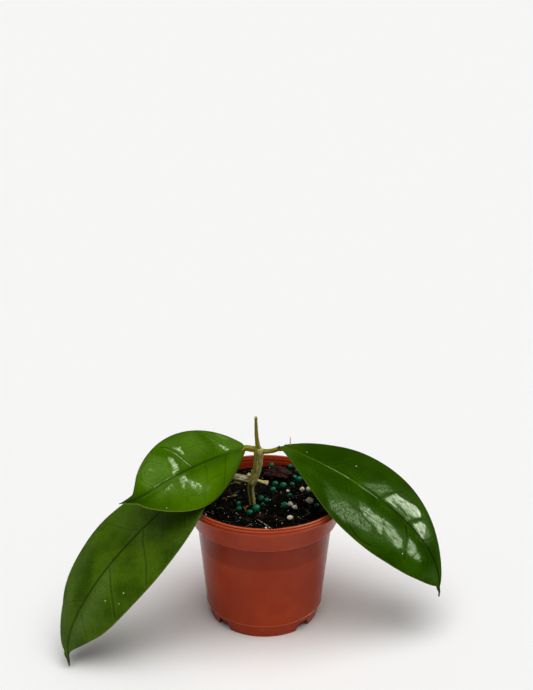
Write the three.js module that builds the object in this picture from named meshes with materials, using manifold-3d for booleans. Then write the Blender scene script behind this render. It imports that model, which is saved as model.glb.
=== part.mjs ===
// Potted hoya: a young rooted cutting with three big leaves in a terracotta-coloured plastic pot.
// Millimetres, +Z up. The plant is laid out about the pot's axis, with the front at -Y, and the
// whole is then moved so that the origin is the middle of the underside of its bounding box.

import * as THREE from 'three';
import { mergeVertices } from 'three/addons/utils/BufferGeometryUtils.js';
import Module from 'manifold-3d';

const wasm = await Module();
wasm.setup();

// ---- driving dimensions ----

const gap = 0.3; // air between pieces that touch

const pot = {
  height: 87,
  rimRadius: 52.5,
  rimInner: 50.2,
  lipHeight: 4,
  lipStep: 0.5, // the outer bead of the lip is this much lower than the inner one
  collarTop: 50.6,
  collarRadius: 47.4,
  collarDrop: 18, // from the rim down to the collar's lower edge
  bodyTop: 43.9,
  bodyFoot: 38,
  footTop: 36.7,
  footRadius: 35.5,
  footHeight: 9.2,
  wall: 1.2,
  floorUnder: 5.4,
  segments: 60,
};
const notch = { count: 4, firstAngle: 44, widthFoot: 11, widthTop: 8, height: 4.9 };
const drain = { count: 6, radius: 4, ring: 23 };

const mix = {
  top: 77.9, tilt: 0.022, mound: 0.4, bump: 0.7,
  heap: { x: 13, y: 43, rise: 2.6, reach: 19 }, // under the big chip of bark
  segments: 40, rings: 8,
};

const leaf = {
  thickness: 1.3, edgeThickness: 0.6,
  start: 0.016, startPerMm: 0.012, // where the blade leaves its stalk, and how far a millimetre is
};
const leaves = {
  // control points of the midrib, then the roll about it and the fold of the halves in degrees,
  // each at the base, the middle and the tip
  leaf_upper_left: {
    midrib: [[-12, -3, 118.5], [-37.1, -27.9, 120.9], [-62.3, -48.8, 117.5], [-76.2, -82.2, 117.5]],
    hook: [-3.3, -8.1, 7.2], roll: [57.5, 51.3, 56.3], fold: [24.8, 12.2, 14.1], curl: 16,
    halfWidth: 25.85, widest: 0.419, fullness: 0.632, tipStart: 0.903, tip: 1.06,
  },
  leaf_upper_right: {
    midrib: [[9.5, -2, 118.5], [52.7, -21.8, 109.5], [110.3, -26.2, 76.4], [113.1, -27.6, 27.4]],
    hook: [-1.7, 0, -1.7], roll: [18.8, -30.9, -17.1], fold: [-14.5, 12.3, 13.8], curl: 5.9,
    halfWidth: 30.98, widest: 0.478, fullness: 0.586, tipStart: 0.9527, tip: 0.975,
  },
  leaf_lower_left: {
    midrib: [[-38, -8, 98.5], [-66, -45.2, 96.6], [-117.9, -70.3, 51.8], [-121.7, -67.4, 3.4]],
    hook: [3.5, -0.8, -1.7], roll: [-6.9, 26.1, 35.9], fold: [-1.1, 9.6, 22], curl: 7.9,
    halfWidth: 27.43, widest: 0.478, fullness: 0.567, tipStart: 0.9374, tip: 1.31,
  },
};

const stem = {
  route: [
    [-5.6, -4, 36], [-6.6, -4.6, 60], [-7.5, -4.8, 77], [-9, -3, 90], [-7.6, -2.2, 95.4], [-5.2, -2, 102],
    [-4.1, -2, 112], [-4, -2, 117.6],
  ],
  radii: [[0, 1.6], [0.5, 1.9], [0.63, 2], [0.68, 2.5], [0.73, 2.9], [0.78, 2.8], [0.92, 2.8], [0.965, 3.1], [1, 2.5]],
};
const shoot = {
  route: [[-4, -2, 115], [-4.7, -2, 119.4], [-5.4, -2, 126], [-5.7, -2, 133], [-5.8, -2, 139]],
  radii: [[0, 1.9], [0.15, 1.25], [0.3, 1], [0.55, 0.86], [0.92, 0.72], [0.96, 0.82], [1, 0.5]],
};
const petioles = {
  petiole_upper_left: {
    route: [[-5, -2, 116], [-8.5, -2.4, 116.6], [-12, -3.2, 117.6], [-17, -8, 117]],
    radii: [[0, 1.9], [0.5, 1.8], [1, 0.9]], blade: 'leaf_upper_left',
  },
  petiole_upper_right: {
    route: [[-4, -2, 115.2], [0, -2, 114.7], [4, -2, 115.1], [9.5, -2.7, 117], [15, -4, 116]],
    radii: [[0, 1.6], [0.4, 1.45], [0.8, 1.3], [1, 0.8]], blade: 'leaf_upper_right',
  },
  petiole_lower_left: {
    route: [[-9, -2, 94.5], [-15, -2, 96], [-24, -3.6, 97.8], [-38, -8.4, 97.2], [-43, -14, 96.6]],
    radii: [[0, 2.4], [0.25, 2.2], [0.8, 1.8], [1, 1.1]], blade: 'leaf_lower_left',
  },
  petiole_stub: {
    route: [[-8, -2, 94.9], [-4.4, -2.8, 94.6], [-1.6, -3, 93.8], [2.2, -3.4, 93]],
    radii: [[0, 1.2], [0.4, 0.9], [0.6, 1.05], [0.8, 1.35], [0.95, 1.75], [1, 1.6]],
  },
};

const root = { count: 7, crown: 3.4, crownBottom: 34, crownTop: 50, thick: 0.9, thin: 0.5, reach: 26, drop: 22 };

// slow-release prills, perlite grains and bark chips: where they lie about the pot's axis, and size
const prills = [
  [-5.4, -11.4, 5], [-9.4, -16.4, 3.8], [-17, -3.8, 3.2], [-16.2, -11.2, 3.2], [-2.4, 1.2, 4],
  [1.2, -1.2, 3.4], [-1.2, -4.6, 2.4], [7, 21, 4], [12.2, 17.6, 4.6], [5.4, 13, 4], [18.2, 21.8, 3.2],
  [16.2, 5.4, 3.2], [12.8, -8.4, 4.4], [23, 27.2, 4.2], [20.2, 31.4, 3.2], [21.8, 38.8, 3],
  [24.4, 36.2, 3.2], [26.6, 30.8, 3.2], [17.6, 43.2, 3.4], [4.6, 46.2, 3.8], [28.4, 10.4, 3],
  [33.2, -8.4, 3.3],
];
const perlite = [
  [28.8, -0.2, 5.6], [16.4, -5.4, 3.8], [19, -9.4, 3.6], [16.2, -22.6, 4], [24.6, 15.4, 3.8],
  [29, 14.4, 3.6], [15.2, 12.8, 2.4],
];
const chips = [
  { place: [8.6, 33, 3], size: [20.5, 17, 7], turn: -10 },
  { place: [-2.2, -19.5, 0.2], size: [9, 3.2, 1.6], turn: -40 },
];

// ---- colours ----

const material = (color, roughness) => new THREE.MeshStandardMaterial({ color, roughness, metalness: 0 });
const terracotta = material(0x93391d, 0.42);
const peat = material(0x17120e, 0.95);
const leafGreen = material(0x3f6a12, 0.32);
const leafDark = material(0x365a1a, 0.42);
const woodyStem = material(0x8d8a5e, 0.7);
const greenStem = material(0x93a03a, 0.55);
const driedStub = material(0xc9bf8a, 0.7);
const rootWhite = material(0xcbbfa4, 0.8);
const prillGreen = material(0x0f6a4c, 0.4);
const perliteWhite = material(0xdcd6bd, 0.9);
const bark = material(0x33170f, 0.85);

// ---- helpers ----

// a closed mesh as a solid that can be cut
function solid(geometry) {
  geometry.deleteAttribute('normal');
  geometry.deleteAttribute('uv');
  const merged = mergeVertices(geometry);
  const index = merged.index.array;
  const triangles = [];
  for (let i = 0; i < index.length; i += 3) {
    const [a, b, c] = [index[i], index[i + 1], index[i + 2]];
    if (a !== b && b !== c && c !== a) triangles.push(a, b, c);
  }
  return new wasm.Manifold(new wasm.Mesh({
    numProp: 3,
    vertProperties: new Float32Array(merged.attributes.position.array),
    triVerts: new Uint32Array(triangles),
  }));
}

// the largest body of a solid, as a geometry
function geometryOf(body) {
  const bodies = body.decompose();
  bodies.sort((a, b) => b.volume() - a.volume());
  const mesh = bodies[0].getMesh();
  const geometry = new THREE.BufferGeometry();
  geometry.setAttribute('position', new THREE.BufferAttribute(new Float32Array(mesh.vertProperties), 3));
  geometry.setIndex(new THREE.BufferAttribute(new Uint32Array(mesh.triVerts), 1));
  geometry.computeVertexNormals();
  return geometry;
}

// moves each vertex of a geometry by a function
function reshape(geometry, move) {
  const position = geometry.attributes.position;
  const point = new THREE.Vector3();
  for (let i = 0; i < position.count; i++) {
    point.fromBufferAttribute(position, i);
    move(point);
    position.setXYZ(i, point.x, point.y, point.z);
  }
  return geometry;
}

// a value between the pairs [place, value] at u
function between(pairs, u) {
  for (let i = 1; i < pairs.length; i++) {
    const [u0, v0] = pairs[i - 1];
    const [u1, v1] = pairs[i];
    if (u <= u1) return v0 + ((v1 - v0) * (u - u0)) / (u1 - u0);
  }
  return pairs[pairs.length - 1][1];
}

// a stem-like body: a cylinder bent along a smooth route, with its radius given along it
function limb(route, radii, sides, steps, grow = 0) {
  const curve = new THREE.CatmullRomCurve3(route.map((p) => new THREE.Vector3(...p)));
  const frames = curve.computeFrenetFrames(steps);
  const geometry = new THREE.CylinderGeometry(1, 1, 1, sides, steps);
  return reshape(geometry, (point) => {
    const u = 0.5 - point.y;
    const k = Math.round(u * steps);
    const radius = between(radii, u) + grow;
    const offset = frames.normals[k].clone().multiplyScalar(point.x * radius);
    offset.addScaledVector(frames.binormals[k], point.z * radius);
    const end = u === 0 ? -grow : u === 1 ? grow : 0;
    point.copy(curve.getPointAt(u)).add(offset).addScaledVector(frames.tangents[k], end);
  });
}

// ---- leaves ----

const degrees = THREE.MathUtils.degToRad;
const smooth = THREE.MathUtils.smoothstep;
const up = new THREE.Vector3(0, 0, 1);

// a smooth value through those at the base, the middle and the tip
function along([base, middle, tip], s) {
  return base * (1 - s) * (1 - 2 * s) + 4 * middle * s * (1 - s) + tip * s * (2 * s - 1);
}

// half the blade's width at s, as a part of the greatest: a rounded base and a drawn-out drip tip
function widthAt(blade, s) {
  const v = Math.min(s / blade.tipStart, 1);
  const q = (blade.fullness * (1 - blade.widest)) / blade.widest;
  const body = (v / blade.widest) ** blade.fullness * ((1 - v) / (1 - blade.widest)) ** q;
  const tip = blade.tip * (1 - s) ** 0.95 * smooth(s, 0.5, 0.93);
  return Math.max(Math.hypot(body, tip), 0.015);
}

function midribAt(blade, s) {
  const curve = new THREE.CubicBezierCurve3(...blade.midrib.map((p) => new THREE.Vector3(...p)));
  const hook = Math.max((s - 0.8) / 0.2, 0) ** 2;
  return curve.getPoint(s).addScaledVector(new THREE.Vector3(...blade.hook), hook);
}

// a point of the blade: s runs from base to tip, t across from -1 to 1, and lift along the normal
function bladePoint(blade, s, t, lift, grow = 0) {
  const step = 0.001;
  const here = midribAt(blade, s);
  const forward = midribAt(blade, Math.min(s + step, 1)).sub(midribAt(blade, Math.max(s - step, 0))).normalize();
  const level = forward.clone().cross(up).normalize();
  const top = level.clone().cross(forward);
  const roll = degrees(along(blade.roll, s));
  const side = level.clone().multiplyScalar(Math.cos(roll)).addScaledVector(top, Math.sin(roll));
  const normal = side.clone().cross(forward);
  const reach = (blade.halfWidth * widthAt(blade, s) + grow) * Math.abs(t);
  const droop = degrees(along(blade.fold, s) + (blade.curl * Math.abs(t)) / 2);
  here.addScaledVector(side, Math.sign(t) * reach * Math.cos(droop));
  here.addScaledVector(normal, lift - reach * Math.sin(droop));
  return here;
}

function bladeGeometry(blade, grow = 0) {
  const geometry = new THREE.BoxGeometry(1, 2, 2, 26, 6, 1);
  const start = leaf.start - grow * leaf.startPerMm;
  return reshape(geometry, (point) => {
    const s = start + (point.x + 0.5) * (1 - start);
    const thin = leaf.thickness + (leaf.edgeThickness - leaf.thickness) * point.y ** 2;
    point.copy(bladePoint(blade, s, -point.y, point.z * (thin / 2 + grow), grow));
  });
}

// ---- pot ----

const potShape = (() => {
  const p = pot;
  const lipUnder = p.height - p.lipHeight;
  const collarFoot = p.height - p.collarDrop;
  const outside = [
    [p.footRadius, 0], [p.footTop, p.footHeight - 0.8], [p.bodyFoot, p.footHeight],
    [p.bodyTop, collarFoot - 1], [p.collarRadius, collarFoot], [p.collarTop, lipUnder - 0.4],
    [p.rimRadius - 0.3, lipUnder], [p.rimRadius, lipUnder + 0.4], [p.rimRadius, p.height - 1.6],
    [p.rimRadius - 0.4, p.height - 0.8], [p.rimRadius - 1.2, p.height - p.lipStep],
    [p.rimRadius - 1.4, p.height], [p.rimInner + 0.3, p.height], [p.rimInner, p.height - 0.4],
  ];
  const inside = [
    [p.collarTop - p.wall, lipUnder - 0.4], [p.collarRadius - p.wall, collarFoot + p.wall],
    [p.bodyTop - p.wall, collarFoot - 1 + p.wall], [p.bodyFoot - p.wall, p.footHeight + p.wall],
    [p.footTop - p.wall, p.footHeight], [p.footTop - p.wall - 0.4, p.floorUnder + p.wall],
  ];
  return { outside, inside };
})();

function potGeometry() {
  const p = pot;
  const footInner = p.footRadius - 1.6;
  const profile = [
    [0, p.floorUnder], [footInner + 0.3, p.floorUnder], [footInner, 0],
    ...potShape.outside, ...potShape.inside, [0, p.floorUnder + p.wall],
  ].map(([r, z]) => new THREE.Vector2(r, z));
  const lathe = new THREE.LatheGeometry(profile, p.segments);
  lathe.rotateX(Math.PI / 2);
  let body = solid(lathe);

  // the drain notches are cut up from the foot, with leaning sides
  const cut = new THREE.Shape();
  cut.moveTo(-notch.widthFoot / 2 - 0.3, -1);
  cut.lineTo(notch.widthFoot / 2 + 0.3, -1);
  cut.lineTo(notch.widthTop / 2, notch.height);
  cut.lineTo(-notch.widthTop / 2, notch.height);
  for (let i = 0; i < notch.count; i++) {
    const cutter = new THREE.ExtrudeGeometry(cut, { depth: 12, bevelEnabled: false });
    cutter.rotateX(Math.PI / 2);
    cutter.translate(0, -29, 0);
    cutter.rotateZ(degrees(90 + notch.firstAngle + (360 / notch.count) * i));
    body = body.subtract(solid(cutter));
  }
  for (let i = 0; i < drain.count; i++) {
    const hole = new THREE.CylinderGeometry(drain.radius, drain.radius, 4, 20);
    hole.rotateX(Math.PI / 2);
    hole.translate(drain.ring, 0, p.floorUnder + p.wall / 2);
    hole.rotateZ(degrees((360 / drain.count) * i));
    body = body.subtract(solid(hole));
  }
  return geometryOf(body);
}

// ---- potting mix ----

// height of the mix's lumpy top, which rises towards the back
function mixTop(x, y) {
  const r = Math.hypot(x, y);
  const lumps = Math.sin(0.31 * x + 1.3) * Math.cos(0.27 * y - 0.6) + 0.6 * Math.sin(0.52 * y + 0.35 * x);
  const { heap } = mix;
  const heaped = heap.rise * (1 - smooth(Math.hypot(x - heap.x, y - heap.y), 0, heap.reach));
  const mound = mix.mound * (1 - (r / 48) ** 2);
  return mix.top + mix.tilt * y + mound + heaped + mix.bump * lumps * smooth(48 - r, 0, 12);
}

function mixGeometry(pressedIn) {
  const inner = potShape.inside;
  const clear = gap + 0.05;
  const [topRadius, topHeight] = inner[0];
  const [lowRadius, lowHeight] = inner[1];
  const edgeAt = (z) => lowRadius - clear + ((topRadius - lowRadius) * (z - lowHeight)) / (topHeight - lowHeight);
  const edgeRadius = edgeAt(mix.top);
  const profile = [[0, pot.floorUnder + pot.wall + gap]];
  profile.push([inner[5][0] - clear, pot.floorUnder + pot.wall + gap]);
  for (let i = 4; i >= 1; i--) profile.push([inner[i][0] - clear, inner[i][1] + 0.1]);
  for (let i = 0; i <= mix.rings; i++) profile.push([edgeRadius * (1 - i / mix.rings), mix.top]);
  const lathe = new THREE.LatheGeometry(profile.map(([r, z]) => new THREE.Vector2(r, z)), mix.segments);
  lathe.rotateX(Math.PI / 2);
  reshape(lathe, (point) => {
    if (point.z < mix.top - 0.1) return;
    const z = mixTop(point.x, point.y);
    point.set(point.x, point.y, 0).multiplyScalar(edgeAt(z) / edgeRadius).setZ(z); // the pot's wall leans
  });
  return geometryOf(wasm.Manifold.difference([solid(lathe), ...pressedIn]));
}

// ---- roots ----

function rootGeometry(stemRoom) {
  const [x, y] = stem.route[0];
  const crown = [[x, y, root.crownBottom], [x, y, (root.crownBottom + root.crownTop) / 2], [x, y, root.crownTop]];
  const build = (grow) => {
    const parts = [solid(limb(crown, [[0, root.crown], [1, root.crown]], 10, 2, grow))];
    for (let i = 0; i < root.count; i++) {
      const angle = degrees((360 / root.count) * i + 20);
      const reach = root.reach * (i % 2 ? 1 : 0.72);
      const low = root.crownTop - root.drop - (i % 3) * 4;
      const route = [[0, 44 - (i % 3) * 3], [0.35, 41], [0.75, low + 8], [1, low - 6]].map(([k, z]) => [
        x + (2 + reach * k) * Math.cos(angle + 0.4 * k), y + (2 + reach * k) * Math.sin(angle + 0.4 * k), z,
      ]);
      parts.push(solid(limb(route, [[0, root.thick], [1, root.thin]], 5, 6, grow)));
    }
    return wasm.Manifold.union(parts);
  };
  return { body: build(0).subtract(stemRoom), room: build(gap) };
}

// ---- small things on the mix ----

function pebble([x, y, size], squash, lumps) {
  const geometry = new THREE.IcosahedronGeometry(1, 1);
  return (grow) => reshape(geometry.clone(), (point) => {
    const bump = 1 + lumps * Math.sin(5 * point.x + x) * Math.cos(4 * point.y + y);
    point.multiplyScalar((size / 2) * bump + grow);
    point.z *= squash;
    point.add(new THREE.Vector3(x, y, mixTop(x, y) + size * 0.3));
  });
}

function chip({ place: [x, y, lift], size: [length, width, height], turn }) {
  return (grow) => {
    const geometry = new THREE.IcosahedronGeometry(1, 1);
    geometry.scale(length / 2 + grow, width / 2 + grow, height / 2 + grow);
    geometry.rotateX(degrees(18));
    geometry.rotateZ(degrees(turn));
    return geometry.translate(x, y, mixTop(x, y) + lift - height * 0.2);
  };
}

// ---- assembly ----

const plant = new THREE.Group();

function add(name, geometry, look) {
  const mesh = new THREE.Mesh(geometry, look);
  mesh.name = name;
  plant.add(mesh);
}

add('pot', potGeometry(), terracotta);

const stemRoom = solid(limb(stem.route, stem.radii, 10, 32, gap));
add('main_stem', limb(stem.route, stem.radii, 10, 32), woodyStem);

const roots = rootGeometry(stemRoom);
add('roots', geometryOf(roots.body), rootWhite);

add('new_shoot', geometryOf(solid(limb(shoot.route, shoot.radii, 10, 14)).subtract(stemRoom)), greenStem);

for (const [name, blade] of Object.entries(leaves)) {
  add(name, bladeGeometry(blade), name === 'leaf_lower_left' ? leafDark : leafGreen);
}

const petioleLook = { petiole_lower_left: woodyStem, petiole_stub: driedStub };
for (const [name, { route, radii, blade }] of Object.entries(petioles)) {
  let body = solid(limb(route, radii, 10, 12)).subtract(stemRoom);
  if (blade) body = body.subtract(solid(bladeGeometry(leaves[blade], gap)));
  add(name, geometryOf(body), petioleLook[name] ?? greenStem);
}

const pressed = [stemRoom, roots.room];
function scatter(name, shapes, look) {
  shapes.forEach((shape, i) => {
    const label = `${name}_${String(i + 1).padStart(2, '0')}`;
    add(label, shape(0), look);
    pressed.push(solid(shape(gap)));
  });
}
scatter('fertilizer_prill', prills.map((spot) => pebble(spot, 1, 0)), prillGreen);
scatter('perlite', perlite.map((spot) => pebble(spot, 0.8, 0.14)), perliteWhite);
scatter('bark_chip', chips.map(chip), bark);
add('potting_mix', mixGeometry(pressed), peat);

const box = new THREE.Box3().setFromObject(plant);
plant.position.set(-(box.min.x + box.max.x) / 2, -(box.min.y + box.max.y) / 2, -box.min.z);

const pottedHoya = new THREE.Group();
pottedHoya.add(plant);
pottedHoya.updateMatrixWorld(true);

export default pottedHoya;
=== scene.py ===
# Potted hoya: a rooted cutting with three waxy leaves in a thin terracotta-coloured plastic pot.
import math
import random

import bmesh
import bpy
import numpy as np
from mathutils import Matrix, Vector, noise


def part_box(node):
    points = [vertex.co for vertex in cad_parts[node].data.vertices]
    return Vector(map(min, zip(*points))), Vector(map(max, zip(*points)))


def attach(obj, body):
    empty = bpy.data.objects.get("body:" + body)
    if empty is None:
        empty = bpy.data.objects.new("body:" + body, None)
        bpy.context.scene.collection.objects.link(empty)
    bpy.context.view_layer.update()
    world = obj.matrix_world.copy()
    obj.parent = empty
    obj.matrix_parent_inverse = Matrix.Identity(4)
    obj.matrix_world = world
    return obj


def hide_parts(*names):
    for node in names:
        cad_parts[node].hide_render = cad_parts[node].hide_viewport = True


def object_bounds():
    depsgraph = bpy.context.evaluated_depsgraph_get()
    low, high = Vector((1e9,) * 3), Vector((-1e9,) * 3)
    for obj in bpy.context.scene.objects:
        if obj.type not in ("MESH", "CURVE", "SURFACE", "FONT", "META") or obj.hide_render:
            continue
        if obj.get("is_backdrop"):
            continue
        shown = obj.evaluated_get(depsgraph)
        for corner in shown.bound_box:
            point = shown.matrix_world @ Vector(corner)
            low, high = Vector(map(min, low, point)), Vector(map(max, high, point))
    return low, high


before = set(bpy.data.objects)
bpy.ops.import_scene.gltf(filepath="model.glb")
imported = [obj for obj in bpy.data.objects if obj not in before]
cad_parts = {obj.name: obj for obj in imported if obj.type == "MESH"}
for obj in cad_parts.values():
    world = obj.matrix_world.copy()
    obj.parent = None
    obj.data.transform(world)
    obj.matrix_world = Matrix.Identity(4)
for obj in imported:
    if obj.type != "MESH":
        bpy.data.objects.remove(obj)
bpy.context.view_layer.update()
mm = 0.001
potLow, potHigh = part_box("pot")
potAxis = Vector(((potLow.x + potHigh.x) / 2, (potLow.y + potHigh.y) / 2, 0))  # all pieces are drawn about it
print("frame loaded")


def srgb(red, green, blue):
    part = [c / 255 for c in (red, green, blue)]
    return (*(c / 12.92 if c < 0.04045 else ((c + 0.055) / 1.055) ** 2.4 for c in part), 1)


# materials


class Wire:  # a value in a material, which can be added, subtracted and multiplied
    def __init__(self, finish, socket):
        self.finish, self.socket = finish, socket

    def sum(self, operation, a, b):
        return self.finish.node("Math", {"operation": operation}, {0: a, 1: b})

    def __add__(self, other):
        return self.sum("ADD", self, other)

    def __radd__(self, other):
        return self.sum("ADD", other, self)

    def __sub__(self, other):
        return self.sum("SUBTRACT", self, other)

    def __rsub__(self, other):
        return self.sum("SUBTRACT", other, self)

    def __mul__(self, other):
        return self.sum("MULTIPLY", self, other)

    def __rmul__(self, other):
        return self.sum("MULTIPLY", other, self)


class Finish:
    def __init__(self, name, plain):
        self.material = bpy.data.materials.new(name)
        self.material.use_nodes = True
        self.tree = self.material.node_tree
        self.shader = self.tree.nodes["Principled BSDF"]
        for socket, value in plain.items():
            self.shader.inputs[socket].default_value = value

    def node(self, kind, settings, inputs, out=0):  # every node of the materials is made here
        made = self.tree.nodes.new("ShaderNode" + kind)
        for key, value in settings.items():
            setattr(made, key, value)
        for key, value in inputs.items():
            if isinstance(value, Wire):
                self.tree.links.new(value.socket, made.inputs[key])
            else:
                made.inputs[key].default_value = value
        return Wire(self, made.outputs[out])

    def mix(self, mask, a, b):
        return self.node("Mix", {"data_type": "RGBA"}, {0: mask, 6: a, 7: b}, 2)

    def ground(self, mask, low, high):  # the first colours, which paint then goes over
        self.color = self.mix(mask, srgb(*low), srgb(*high))

    def paint(self, mask, tint):
        self.color = self.mix(mask, self.color, srgb(*tint))

    def feed(self, **wires):
        sockets = {"roughness": "Roughness", "normal": "Normal", "coat": "Coat Weight"}
        self.tree.links.new(self.color.socket, self.shader.inputs["Base Color"])
        for key, value in wires.items():
            self.tree.links.new(value.socket, self.shader.inputs[sockets[key]])

    def attribute(self, name, out="Fac"):
        return self.node("Attribute", {"attribute_name": name}, {}, out)

    def here(self):
        return self.node("TexCoord", {}, {}, "Object")

    def stretch(self, where, scale, turn=0):
        return self.node("Mapping", {}, {"Vector": where, "Scale": scale, "Rotation": (0, 0, turn)})

    def grain(self, where, scale, detail, rough=0.5, warp=0):
        sizes = {"Vector": where, "Scale": scale, "Detail": detail, "Roughness": rough, "Distortion": warp}
        return self.node("TexNoise", {}, sizes, "Fac")

    def cells(self, where, scale):
        return self.node("TexVoronoi", {}, {"Vector": where, "Scale": scale}, "Color")

    def step(self, value, low, high):  # 0 below low, 1 above high, smooth between; low may be the greater
        inputs = {"Value": value, "From Min": low, "From Max": high}
        return self.node("MapRange", {"interpolation_type": "SMOOTHSTEP"}, inputs)

    def apart(self, where, point):
        return self.node("VectorMath", {"operation": "DISTANCE"}, {0: where, 1: point}, "Value")

    def bump(self, height, depth, strength=1.0):  # depth in metres for a height of 1
        return self.node("Bump", {}, {"Height": height, "Distance": depth, "Strength": strength}, "Normal")


# shapes


def smoothed(value, low, high):
    part = np.clip((value - low) / (high - low), 0, 1)
    return part * part * (3 - 2 * part)


def bumps(points, scale, seed):  # smooth noise from -1 to 1 at each point, in bumps per mm
    return np.array([noise.noise(Vector(p) * scale + Vector((seed, seed * 0.7, -seed))) for p in points])


def coordinates(mesh):
    flat = np.empty(len(mesh.vertices) * 3)
    mesh.vertices.foreach_get("co", flat)
    return flat.reshape(-1, 3)


def moveTo(mesh, points):
    mesh.vertices.foreach_set("co", np.ascontiguousarray(points).ravel())
    mesh.update()


def store(mesh, name, values):
    vector = values.ndim == 2
    layer = mesh.attributes.new(name, "FLOAT_VECTOR" if vector else "FLOAT", "POINT")
    layer.data.foreach_set("vector" if vector else "value", values.astype(np.float32).ravel())


def meshOf(bm, name):
    mesh = bpy.data.meshes.new(name)
    bm.to_mesh(mesh)
    bm.free()
    return mesh


def outward(mesh):
    bm = bmesh.new()
    bm.from_mesh(mesh)
    bmesh.ops.recalc_face_normals(bm, faces=bm.faces)
    bm.to_mesh(mesh)
    bm.free()


def place(name, mesh, finish, slot, *nodes, sharp=40):
    mesh.transform(Matrix.Translation(potAxis) @ Matrix.Scale(mm, 4))
    mesh.shade_smooth()
    mesh.set_sharp_from_angle(angle=math.radians(sharp))
    piece = bpy.data.objects.new(name, mesh)
    bpy.context.scene.collection.objects.link(piece)
    mesh.materials.clear()
    mesh.materials.append(finish.material)
    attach(piece, "root")
    if nodes:
        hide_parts(*nodes)


def spun(profile, steps):  # radius and height in a profile, turned about the pot's axis
    bm = bmesh.new()
    points = [bm.verts.new((radius, 0, height)) for radius, height in profile]
    edges = [bm.edges.new(pair) for pair in zip(points, points[1:])]
    around = {"axis": (0, 0, 1), "cent": (0, 0, 0), "angle": 2 * math.pi, "use_merge": True}
    bmesh.ops.spin(bm, geom=points + edges, steps=steps, **around)
    bmesh.ops.remove_doubles(bm, verts=bm.verts, dist=0.002)
    bmesh.ops.recalc_face_normals(bm, faces=bm.faces)
    return bm


def centreOf(node):  # a CAD node's middle from the pot's axis and half its size, in mm
    low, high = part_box(node)
    return ((low + high) / 2 - potAxis) / mm, (high - low) / 2 / mm


curveSteps = 40  # between two points of a route, before they are spaced evenly


def curveThrough(route, count):  # evenly spaced points on a centripetal curve through the route
    route = [np.array(p, float) for p in route]
    route = [2 * route[0] - route[1], *route, 2 * route[-1] - route[-2]]
    fine = []
    for a, b, c, d in zip(route, route[1:], route[2:], route[3:]):
        t0 = 0
        t1, t2, t3 = np.cumsum([np.linalg.norm(q - p) ** 0.5 for p, q in ((a, b), (b, c), (c, d))])
        for t in np.linspace(t1, t2, curveSteps, endpoint=False):
            ab = (a * (t1 - t) + b * (t - t0)) / (t1 - t0)
            bc = (b * (t2 - t) + c * (t - t1)) / (t2 - t1)
            cd = (c * (t3 - t) + d * (t - t2)) / (t3 - t2)
            abc = (ab * (t2 - t) + bc * (t - t0)) / (t2 - t0)
            bcd = (bc * (t3 - t) + cd * (t - t1)) / (t3 - t1)
            fine.append((abc * (t2 - t) + bcd * (t - t1)) / (t2 - t1))
    fine = np.array([*fine, route[-2]])
    lengths = np.concatenate([[0], np.cumsum(np.linalg.norm(np.diff(fine, axis=0), axis=1))])
    wanted = np.linspace(0, lengths[-1], count)
    return np.stack([np.interp(wanted, lengths, fine[:, k]) for k in range(3)], axis=1), lengths[-1]


def sweep(name, route, radii, sides, steps, relief=None):  # a stalk along a route, its ends closed
    bm = bmesh.new()
    bmesh.ops.create_grid(bm, x_segments=steps, y_segments=sides, size=0.5)
    mesh = meshOf(bm, name)
    grid = coordinates(mesh)
    along, turn = grid[:, 0] + 0.5, (grid[:, 1] + 0.5) * 2 * math.pi
    line, length = curveThrough(route, steps + 1)
    forward = np.gradient(line, axis=0)
    forward /= np.linalg.norm(forward, axis=1)[:, None]
    side = np.empty_like(line)
    last = np.array([0.0, -1.0, 0.05])  # its seam starts at the front and never twists
    for k, way in enumerate(forward):
        last = last - way * last.dot(way)
        last /= np.linalg.norm(last)
        side[k] = last
    other = np.cross(forward, side)
    row = np.rint(along * steps).astype(int)
    radius = np.interp(along, *zip(*radii))
    ring = np.stack([np.cos(turn), np.sin(turn), along * length / 3], axis=1)
    if relief:
        radius = radius + relief(along, turn, ring)
    out = side[row] * np.cos(turn)[:, None] + other[row] * np.sin(turn)[:, None]
    moveTo(mesh, line[row] + out * radius[:, None])
    store(mesh, "bark", ring * np.array([2.0, 2.0, 3.0]))
    store(mesh, "along", along)
    bm = bmesh.new()
    bm.from_mesh(mesh)
    bmesh.ops.remove_doubles(bm, verts=bm.verts, dist=0.0005)
    bmesh.ops.holes_fill(bm, edges=[e for e in bm.edges if e.is_boundary], sides=sides + 2)
    bmesh.ops.recalc_face_normals(bm, faces=bm.faces)
    bm.to_mesh(mesh)
    bm.free()
    return mesh


# camera, lights and floor

camera = {  # mm and degrees, from the pot's axis at the table; it sees 200 m far
    "lens": 54.26, "sensor": 36, "back": 600.2, "height": 399.1, "down": 19.58, "roll": 0.366, "turn": 0.05,
    "farthest": 200,
}
windows = {  # soft lights for the gloss alone, placed from the pot's axis; degrees, mm and W
    "rightWindow": {"azimuth": 54, "height": 880, "away": 1150, "size": (660, 1900), "power": 36.0},
    "frontWindow": {"azimuth": 113, "height": 450, "away": 1150, "size": (800, 640), "power": 13.5},
    "lowCard": {"azimuth": 88, "height": 180, "away": 1150, "size": (360, 350), "power": 7.0},
    "nearCard": {"azimuth": 92, "height": 82, "away": 600, "size": (280, 155), "power": 0.5},
}
windowColor, windowAim = (0.95, 1.0, 0.84), 70  # all four look at the axis, this high above the table
overhead = {"azimuth": 160, "lean": 12, "spread": 62, "strength": 2.6}  # degrees
surround = {"color": (0.50, 0.50, 0.51), "strength": 0.4, "gamma": 0.88}
table = {"size": 60.0, "color": (246, 246, 245), "roughness": 0.9}  # size in metres

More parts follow.
